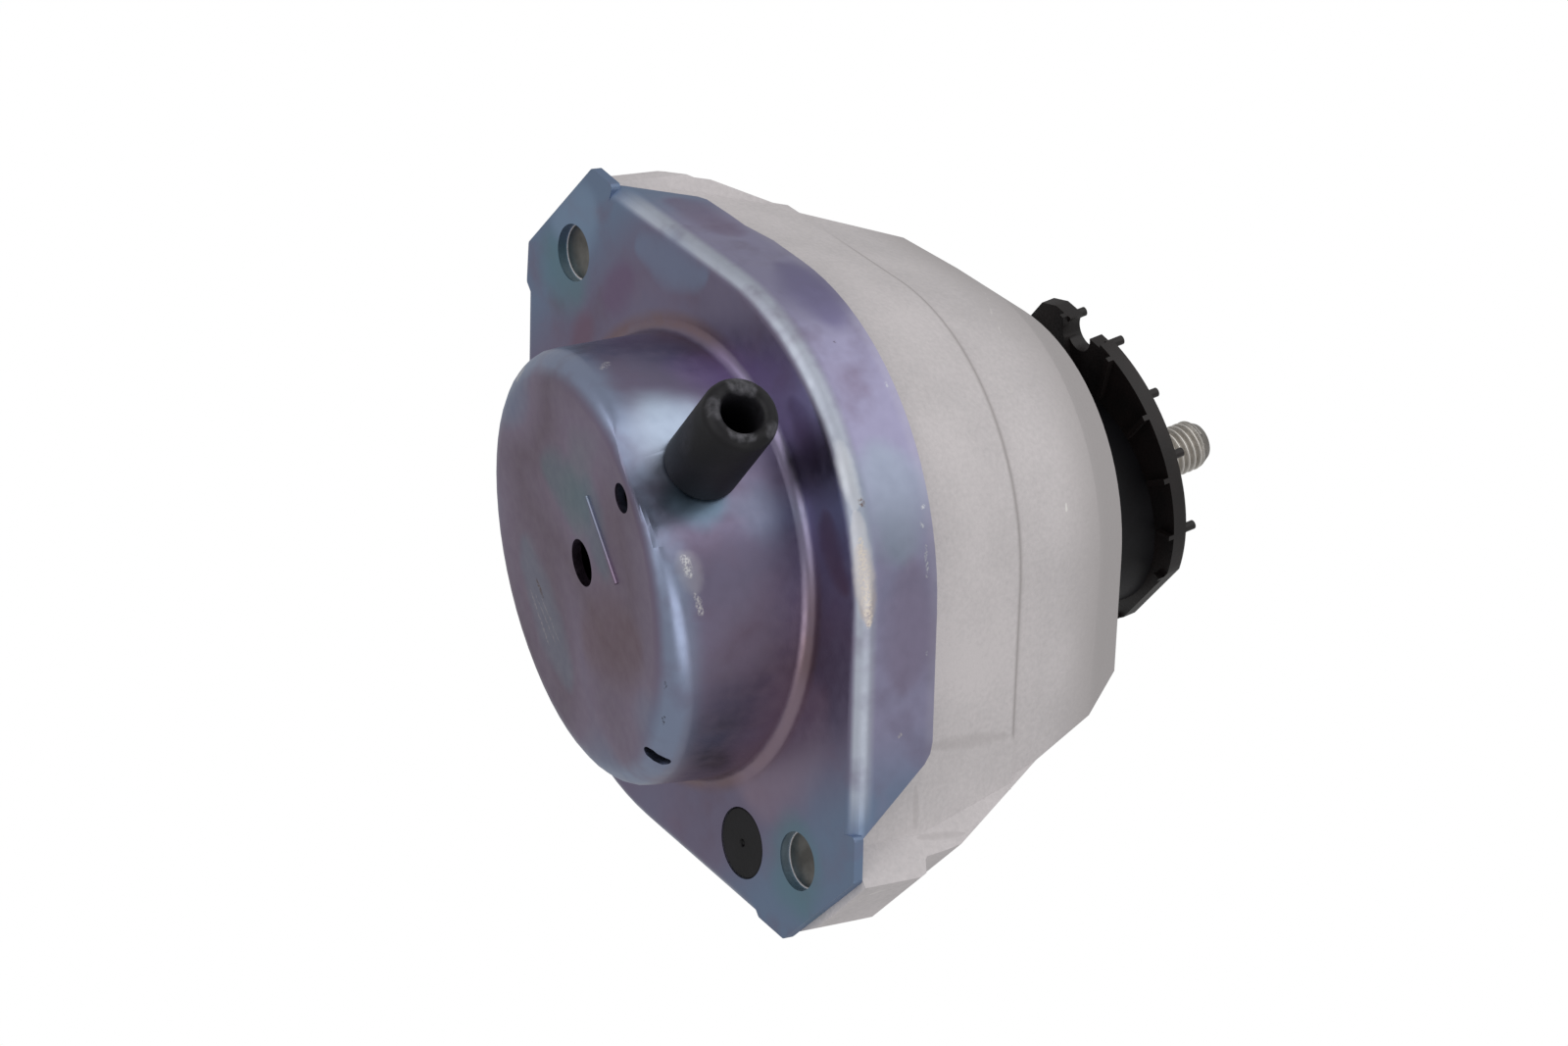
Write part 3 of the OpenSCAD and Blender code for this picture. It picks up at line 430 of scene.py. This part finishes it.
def castMaterial():
    look = castLook
    material, shader = newMaterial("blastedCastAluminium")
    coordinates = addNode(material, "ShaderNodeTexCoord").outputs["Object"]
    cloud = addNode(material, "ShaderNodeTexNoise", {"Scale": 1000 / look["cloud"], "Detail": 4.0},
                    {"Vector": coordinates})
    grain = addNode(material, "ShaderNodeTexNoise", {"Scale": 1000 / look["grain"], "Detail": 2.0},
                    {"Vector": coordinates})
    both = addNode(material, "ShaderNodeMath", {"operation": "MULTIPLY_ADD", 1: look["grainShare"]},
                   {0: grain.outputs["Fac"], 2: cloud.outputs["Fac"]})
    tone = addNode(material, "ShaderNodeValToRGB", None, {"Fac": both.outputs[0]})
    colorStops(tone, [(0.55, look["dark"]), (0.95, look["light"])])
    position = addNode(material, "ShaderNodeSeparateXYZ", None, {"Vector": coordinates})
    # the parting line's darkness is painted shade of its small step
    offLine = addNode(material, "ShaderNodeMath", {"operation": "SUBTRACT", 1: look["lineHeight"] * mm},
                      {0: position.outputs["Z"]})
    distance = addNode(material, "ShaderNodeMath", {"operation": "ABSOLUTE"}, {0: offLine.outputs[0]})
    partingStepShade = addNode(material, "ShaderNodeMapRange", {"interpolation_type": "SMOOTHSTEP", "From Min": 0.0,
                   "From Max": look["lineWidth"] * mm, "To Min": look["partingStepShadeAmount"], "To Max": 0.0},
                   {"Value": distance.outputs[0]})
    inside = window(material, position.outputs["Y"], look["lineEnds"])
    partingStepShade = addNode(material, "ShaderNodeMath", {"operation": "MULTIPLY"}, {0: partingStepShade.outputs[0], 1: inside})
    # the narrow end darkened with painted shade
    nose = window(material, position.outputs["Z"], look["nose"])
    shadedNose = addNode(material, "ShaderNodeMix", {"data_type": "RGBA", 7: linearColor(look["noseShade"])},
                     {0: nose, 6: tone.outputs["Color"]})
    stepShaded = addNode(material, "ShaderNodeMix", {"data_type": "RGBA", 7: linearColor(look["partingStepShade"])},
                    {0: partingStepShade.outputs[0], 6: shadedNose.outputs[2]})
    # besides the scratches, these touches paint shade into the creases beside the ear
    color = addTouches(material, wandering(material, coordinates, *look["wearWander"]), stepShaded.outputs[2],
                       look["wear"])
    join(material, color, shader.inputs["Base Color"])
    addBump(material, shader, grain.outputs["Fac"], *look["bump"])
    shader.inputs["Metallic"].default_value = look["metallic"]
    shader.inputs["Roughness"].default_value = look["roughness"]
    return material


# where the stud stands, and what its tones are measured from
studMount = findMount("top_stud")
studAxis = Vector(studMount["axis"])
studSink = 1.5      # mm from the stud's seat to the length that the mount names
studSeat = Vector(studMount["pos_m"]) - studAxis * (studMount["dims"]["length_mm"] / 2 + studSink) * mm


def threadTones(material, coordinates, color, look):
    # painted highlight on the crests of the thread and painted shade down in its grooves, by distance from
    # the stud's axis
    offAxis = addNode(material, "ShaderNodeVectorMath", {"operation": "SUBTRACT", 1: studSeat},
                      {0: coordinates})
    across = addNode(material, "ShaderNodeVectorMath", {"operation": "CROSS_PRODUCT", 1: studAxis},
                     {0: offAxis.outputs[0]})
    reach = addNode(material, "ShaderNodeVectorMath", {"operation": "LENGTH"}, {0: across.outputs[0]})
    crest = addNode(material, "ShaderNodeMapRange", {"From Min": look["crest"][0] * mm,
                    "From Max": look["crest"][1] * mm}, {"Value": reach.outputs["Value"]})
    # painted shade over the whole thread, which the crests' painted highlight then covers
    groove = addNode(material, "ShaderNodeMix", {"data_type": "RGBA", "blend_type": "MULTIPLY", 0: 1.0,
                     7: (look["root"],) * 3 + (1,)}, {6: color})
    lit = addNode(material, "ShaderNodeMix", {"data_type": "RGBA", 7: linearColor(look["crestHighlight"])},
                  {0: crest.outputs[0], 6: groove.outputs[2]})
    # painted shade on the plain cone of the tip, by distance along the stud
    along = addNode(material, "ShaderNodeVectorMath", {"operation": "DOT_PRODUCT", 1: studAxis},
                    {0: offAxis.outputs[0]})
    lead = addNode(material, "ShaderNodeMapRange", {"From Min": look["lead"][0] * mm,
                   "From Max": look["lead"][1] * mm}, {"Value": along.outputs["Value"]})
    plain = addNode(material, "ShaderNodeMix", {"data_type": "RGBA", "blend_type": "MULTIPLY",
                    7: (look["leadShade"],) * 3 + (1,)}, {0: lead.outputs[0], 6: lit.outputs[2]})
    return plain.outputs[2]


def mottledMaterial(name, look):
    # two tones in fine clouds, with their own grain in the surface
    material, shader = newMaterial(name)
    coordinates = addNode(material, "ShaderNodeTexCoord").outputs["Object"]
    cloud = addNode(material, "ShaderNodeTexNoise", {"Scale": 1000 / look["cloud"], "Detail": 4.0},
                    {"Vector": coordinates})
    tone = addNode(material, "ShaderNodeValToRGB", None, {"Fac": cloud.outputs["Fac"]})
    colorStops(tone, [(0.35, look["dark"]), (0.65, look["light"])])
    color = tone.outputs["Color"]
    if "crest" in look:
        color = threadTones(material, coordinates, color, look)
    if "wear" in look:
        color = addTouches(material, wandering(material, coordinates, *look["wearWander"]), color,
                           look["wear"], speckles(material, coordinates, *look["wearBreaks"]))
    join(material, color, shader.inputs["Base Color"])
    grain = addNode(material, "ShaderNodeTexNoise", {"Scale": 1000 / look["grain"], "Detail": 2.0},
                    {"Vector": coordinates})
    addBump(material, shader, grain.outputs["Fac"], *look["bump"])
    shader.inputs["Metallic"].default_value = look["metallic"]
    shader.inputs["Roughness"].default_value = look["roughness"]
    if "ior" in look:
        shader.inputs["IOR"].default_value = look["ior"]
        shader.inputs["Specular IOR Level"].default_value = look["specular"]
    return material


# Natural rubber, moulded: soft black with a slight bloom.
rubberLook = {"light": "#131216", "dark": "#0c0b0e", "cloud": 6.0, "grain": 0.8, "bump": (0.1, 0.3),
              "metallic": 0, "roughness": 0.5, "ior": 1.52, "specular": 0.28,
              "wearWander": (1.0, 1.0), "wearBreaks": (1.6, 0.25, 0.65),
              "wear": [  # pale scuffs round the mouth of the hose socket
                  ((-63.0, 1.6, -22.0), (-63.0, 1.0, -19.0), 9.0, "#2b2a2f", 0.7),
                  ((-63.1, 6.6, -20.8), (-63.1, 3.6, -17.0), 2.4, "#66656b", 0.8),
                  ((-62.4, 3.6, -25.0), (-62.4, 0.6, -25.2), 2.4, "#5c5b61", 0.8),
                  ((-62.5, -2.4, -24.0), (-62.7, -4.6, -20.0), 2.2, "#6a696f", 0.8),
                  ((-63.3, -4.6, -17.0), (-63.3, -3.6, -14.6), 2.0, "#5c5b61", 0.7),
                  ((-56.0, 5.9, -26.0), (-48.0, 0.0, -27.5), 4.0, "#2c2b31", 0.7),
              ]}
# Glass-filled polyamide, moulded: black, a little duller than the rubber.
polyamideLook = {"light": "#1d1514", "dark": "#100b0b", "cloud": 9.0, "grain": 0.7, "bump": (0.15, 0.3),
                 "metallic": 0, "roughness": 0.46, "ior": 1.53, "specular": 0.5}
# Turned steel, plain: dark grey, satin.
steelLook = {"light": "#868480", "dark": "#666460", "cloud": 5.0, "grain": 0.6, "bump": (0.12, 0.3),
             "metallic": 1.0, "roughness": 0.4}
# Zinc-nickel plate on a rolled thread: pale warm grey, satin.
threadLook = {"light": "#dcd7d0", "dark": "#bfb9b1", "cloud": 3.0, "grain": 0.5, "bump": (0.1, 0.3),
              "metallic": 0.85, "roughness": 0.5,
              "crest": (4.6, 4.9), "crestHighlight": "#f6f2ec", "root": 0.85,   # radii in mm, then painted highlight and painted shade
              "lead": (21.6, 22.4), "leadShade": 0.6}                       # heights in mm, then painted shade

zincSheet = zincSheetMaterial()
castAluminium = castMaterial()
rubber = mottledMaterial("mouldedRubber", rubberLook)
polyamide = mottledMaterial("glassFilledPolyamide", polyamideLook)
plainSteel = mottledMaterial("turnedSteel", steelLook)
platedThread = mottledMaterial("platedThread", threadLook)
slotMaterials = {"zinc_sheet": zincSheet, "cast_aluminium": castAluminium, "plain_steel": plainSteel,
                 "zinc_stud": platedThread, "black_rubber": rubber, "moulded_black": polyamide}
for part in frame["record"]["subparts"]:
    nodes[part["node"]].data.materials.clear()
    nodes[part["node"]].data.materials.append(slotMaterials[part["material_slot"]])
print("materials:", len(slotMaterials))

# base plate: the CAD sheet with its sheared edges taken off
basePlateValues = {"edge": 0.28, "angle": 38}
basePlate = copyOfNode("base_plate", "basePlate")
roundEdges(basePlate, basePlateValues["edge"], angle=basePlateValues["angle"])
finishPiece(basePlate, zincSheet, "base_plate")

# housing: a casting, so its edges are rounder and also the blunt ones
housingValues = {"edge": 0.9, "angle": 14, "segments": 3, "earEnd": 73.3}
housing = copyOfNode("housing", "castHousing")
roundEdges(housing, housingValues["edge"], housingValues["segments"], housingValues["angle"])
# the upper ear ends behind the edge of the plate
makeActive(housing)
bpy.ops.object.mode_set(mode="EDIT")
bpy.ops.mesh.select_all(action="SELECT")
bpy.ops.mesh.bisect(plane_co=(0, housingValues["earEnd"] * mm, 0), plane_no=(0, 1, 0), use_fill=True,
                    clear_outer=True)
bpy.ops.object.mode_set(mode="OBJECT")
finishPiece(housing, castAluminium, "housing")

# cap: the CAD moulding with softer edges
capValues = {"edge": 0.45}
stopCap = copyOfNode("stop_cap", "stopCap")
roundEdges(stopCap, capValues["edge"])
finishPiece(stopCap, polyamide, "stop_cap")

# stud: a rolled M10 thread on a shank that sits in the core
studValues = {
    "majorRadius": 4.95, "minorRadius": 4.15, "pitch": 1.5, "crestWidth": 0.18, "flankWidth": 0.5,
    "start": 0.9, "length": 24.7, "chamfer": 2.5, "chamferDepth": 1.2, "tipRound": (0.5, 0.35),
    "coneEdge": [(0.12, -0.2), (0.2, 0.2)],      # mm inside the crests, and mm from the cone's foot
    "runOut": 0.7, "cutPast": 0.3, "neckRadius": 4.25, "neckLength": 0.8, "coreStart": 0.6,
    "collarRadius": 5.25, "collarTop": -1.2, "rootLength": 26.0, "rootChamfer": 0.9,
    "overlap": 0.02, "steps": 48, "smoothAngle": 35,
}


def buildStud():
    v = studValues
    deselectAll()
    # a small circle is merged to one point, and that point is extruded along the thread's profile
    bpy.ops.mesh.primitive_circle_add(vertices=3, radius=1 * mm, fill_type="NOTHING")
    thread = bpy.context.object
    thread.name = "threadedStud"
    thread.data.name = "threadedStud"
    bpy.ops.object.mode_set(mode="EDIT")
    bpy.ops.mesh.select_all(action="SELECT")
    bpy.ops.mesh.merge(type="CENTER")
    bpy.ops.transform.translate(value=(v["minorRadius"] * mm, 0, 0))
    depth = v["majorRadius"] - v["minorRadius"]
    halfRoot = (v["pitch"] - v["crestWidth"]) / 2 - v["flankWidth"]
    for outward, upward in ((0, halfRoot), (depth, v["flankWidth"]), (0, v["crestWidth"]),
                            (-depth, v["flankWidth"]), (0, halfRoot)):
        bpy.ops.mesh.extrude_vertices_move(
            TRANSFORM_OT_translate={"value": (outward * mm, 0, upward * mm)})
    bpy.ops.object.mode_set(mode="OBJECT")
    turns = int(v["length"] / v["pitch"]) + 1
    applyModifier(thread, "SCREW", axis="Z", angle=2 * math.pi, steps=v["steps"], render_steps=v["steps"],
                  screw_offset=v["pitch"] * mm, iterations=turns, use_merge_vertices=True,
                  merge_threshold=mergeDistance, use_smooth_shade=True)
    makeActive(thread)
    bpy.ops.object.mode_set(mode="EDIT")
    bpy.ops.mesh.select_all(action="SELECT")
    bpy.ops.mesh.remove_doubles(threshold=mergeDistance)
    # both ends are cut level, the upper one just inside the cone of the tip
    top = v["length"] - v["chamfer"]
    for height, upward in ((v["start"] + v["pitch"], -1), (top + v["cutPast"], 1)):
        bpy.ops.mesh.select_all(action="SELECT")
        bpy.ops.mesh.bisect(plane_co=(0, 0, height * mm), plane_no=(0, 0, upward), use_fill=True,
                            clear_outer=True)
    bpy.ops.mesh.select_all(action="SELECT")
    bpy.ops.mesh.normals_make_consistent(inside=False)
    bpy.ops.object.mode_set(mode="OBJECT")
    # the shank is a hair thicker than the thread's root, so that the two meet in volume
    core = v["minorRadius"] + v["overlap"]
    tip = v["majorRadius"] - v["chamferDepth"]
    roundIn, roundDown = v["tipRound"]
    profile = [(v["collarRadius"] - v["rootChamfer"], -v["rootLength"]),
               (v["collarRadius"], v["rootChamfer"] - v["rootLength"]),
               (v["collarRadius"], v["collarTop"]), (v["neckRadius"], v["collarTop"] + v["neckLength"]),
               (core, v["coreStart"]), (core, top + v["coneEdge"][0][1] - v["runOut"])]
    profile += [(v["majorRadius"] - inward, top + upward) for inward, upward in v["coneEdge"]]
    profile += [(tip, v["length"] - roundDown), (tip - roundIn, v["length"])]
    shank = lathe("studShank", profile, v["steps"])
    applyModifier(thread, "BOOLEAN", operation="UNION", object=shank, solver="EXACT")
    bpy.data.objects.remove(shank)
    standOn(thread, studSeat, studAxis)
    smooth(thread, v["smoothAngle"])
    return thread


stud = buildStud()
finishPiece(stud, platedThread, "stud")

# hose socket: a moulded rubber sleeve, snapped into the cup wall
socketValues = {
    "radius": 7.2, "length": 22.9, "boreRadius": 3.9, "boreFoot": 1.0, "spigotRadius": 4.1,
    "shoulder": (0.4, 0.5),                                  # height over the wall, and its edge
    "neckRadius": 5.6, "wall": -3.2,                         # the groove that the cup's wall sits in
    "rimRadius": 7.6, "rimEdge": 0.2, "rimTaper": (-4.8, 0.8), "inner": -8.0,
    # the mouth's rounded lip: mm in from the outside or the bore, and mm down from the end
    "outerLip": [(0, 2.2), (0.15, 1.4), (0.5, 0.7), (1.0, 0.25), (1.6, 0)],
    "boreLip": [(1.1, 0), (0.5, 0.25), (0, 1.0)],
    "sink": 1.0, "steps": 96, "smoothAngle": 40,
}


def buildSocket():
    v = socketValues
    shoulder, shoulderEdge = v["shoulder"]
    taperHeight, taper = v["rimTaper"]
    profile = [(v["spigotRadius"], v["inner"]), (v["rimRadius"] - taper, v["inner"]),
               (v["rimRadius"], taperHeight), (v["rimRadius"], v["wall"] - v["rimEdge"]),
               (v["rimRadius"] - v["rimEdge"], v["wall"]), (v["neckRadius"], v["wall"]),
               (v["neckRadius"], shoulder), (v["radius"] - shoulderEdge, shoulder),
               (v["radius"], shoulder + shoulderEdge)]
    profile += [(v["radius"] - inward, v["length"] - down) for inward, down in v["outerLip"]]
    profile += [(v["boreRadius"] + outward, v["length"] - down) for outward, down in v["boreLip"]]
    profile += [(v["boreRadius"], v["boreFoot"]), (v["spigotRadius"], v["boreFoot"]),
                (v["spigotRadius"], v["inner"])]
    socket = lathe("hoseSocket", profile, v["steps"], fillEnds=False)
    mount = findMount("hose_bore")
    axis = Vector(mount["axis"])
    standOn(socket, Vector(mount["pos_m"]) - axis * (mount["dims"]["length_mm"] / 2 + v["sink"]) * mm, axis)
    smooth(socket, v["smoothAngle"])
    return socket


hoseSocket = buildSocket()
finishPiece(hoseSocket, rubber, "hose_socket")

# plug: the CAD moulding with softer edges
plugValues = {"edge": 0.15}
locatingPlug = copyOfNode("locating_plug", "locatingPlug")
roundEdges(locatingPlug, plugValues["edge"])
finishPiece(locatingPlug, rubber, "locating_plug")

# turned pins, seen through the bolt holes of the plate
pinValues = {"radius": 5.3, "edge": 0.2, "foot": 2.0, "length": 14.0, "steps": 96, "smoothAngle": 30}


def buildPins():
    v = pinValues
    top = v["foot"] + v["length"]
    profile = [(v["radius"] - v["edge"], v["foot"]), (v["radius"], v["foot"] + v["edge"]),
               (v["radius"], top - v["edge"]), (v["radius"] - v["edge"], top)]
    alongY = findMount("base_bolts")["dims"]["spacing_y_mm"] / 2
    pins = [lathe("earPins", profile, v["steps"]), lathe("earPinsFar", profile, v["steps"])]
    for pin, side in zip(pins, (-1, 1)):
        place(pin, Matrix.Translation((0, side * alongY * mm, 0)))
    makeActive(pins[0])
    pins[1].select_set(True)
    bpy.ops.object.join()
    smooth(pins[0], v["smoothAngle"])
    return pins[0]


earPins = buildPins()
finishPiece(earPins, plainSteel, "ear_pins")

# camera at the photograph's viewing angle: image right, down and into the picture
cameraValues = {
    "right": (-0.45377, -0.33487, 0.82581), "down": (0.43051, -0.89377, -0.12587),
    "into": (0.78023, 0.2984, 0.54973), "place": (-0.81492, -0.30909, -0.55037), "lens": 126.76,
    "sensor": 36,
}
right = Vector(cameraValues["right"])
up = -Vector(cameraValues["down"])
toward = -Vector(cameraValues["into"])


def turnedTo(x, y, z, position):
    # the matrix of an object that has these three axes and stands at this place
    turn = Matrix([[x[i], y[i], z[i]] for i in range(3)]).to_4x4()
    return Matrix.Translation(position) @ turn


cameraData = bpy.data.cameras.new("camera")
cameraData.sensor_width = cameraValues["sensor"]
cameraData.lens = cameraValues["lens"]
camera = bpy.data.objects.new("camera", cameraData)
bpy.context.scene.collection.objects.link(camera)
camera.matrix_world = turnedTo(right, up, toward, cameraValues["place"])
bpy.context.scene.camera = camera

# soft boxes placed by image right, up and toward the camera from the middle of the mount, in metres,
# with width and height
middle = Vector((0, 0, 0.035))
softBoxes = {
    "key": {"at": (0.80, 0.80, 0.40), "size": (1.5, 1.5), "power": 3.9},
    "tall": {"at": (-0.72, 0.45, 0.9), "size": (1.0, 1.6), "power": 6.0},
    "low": {"at": (0.45, -0.7, 0.9), "size": (0.9, 0.9), "power": 2.5},
}
for lampName, lamp in softBoxes.items():
    lampData = bpy.data.lights.new(lampName, "AREA")
    lampData.shape = "RECTANGLE"
    lampData.size, lampData.size_y = lamp["size"]
    lampData.energy = lamp["power"]
    lampObject = bpy.data.objects.new(lampName, lampData)
    bpy.context.scene.collection.objects.link(lampObject)
    away = right * lamp["at"][0] + up * lamp["at"][1] + toward * lamp["at"][2]
    back = away.normalized()
    side = up.cross(back).normalized()
    lampObject.matrix_world = turnedTo(side, back.cross(side), back, middle + away)

# white for the camera, a plain grey room for everything else
worldValues = {"room": 0.42, "backdrop": 1.0}
world = bpy.data.worlds.new("studio")
world.use_nodes = True
background = world.node_tree.nodes["Background"]
path = addNode(world, "ShaderNodeLightPath")
shade = addNode(world, "ShaderNodeMix", {"data_type": "RGBA", 6: (worldValues["room"],) * 3 + (1,),
                7: (worldValues["backdrop"],) * 3 + (1,)}, {0: path.outputs["Is Camera Ray"]})
join(world, shade.outputs[2], background.inputs["Color"])
bpy.context.scene.world = world
bpy.context.scene.view_settings.view_transform = "Standard"
print("camera, lamps and world ready")
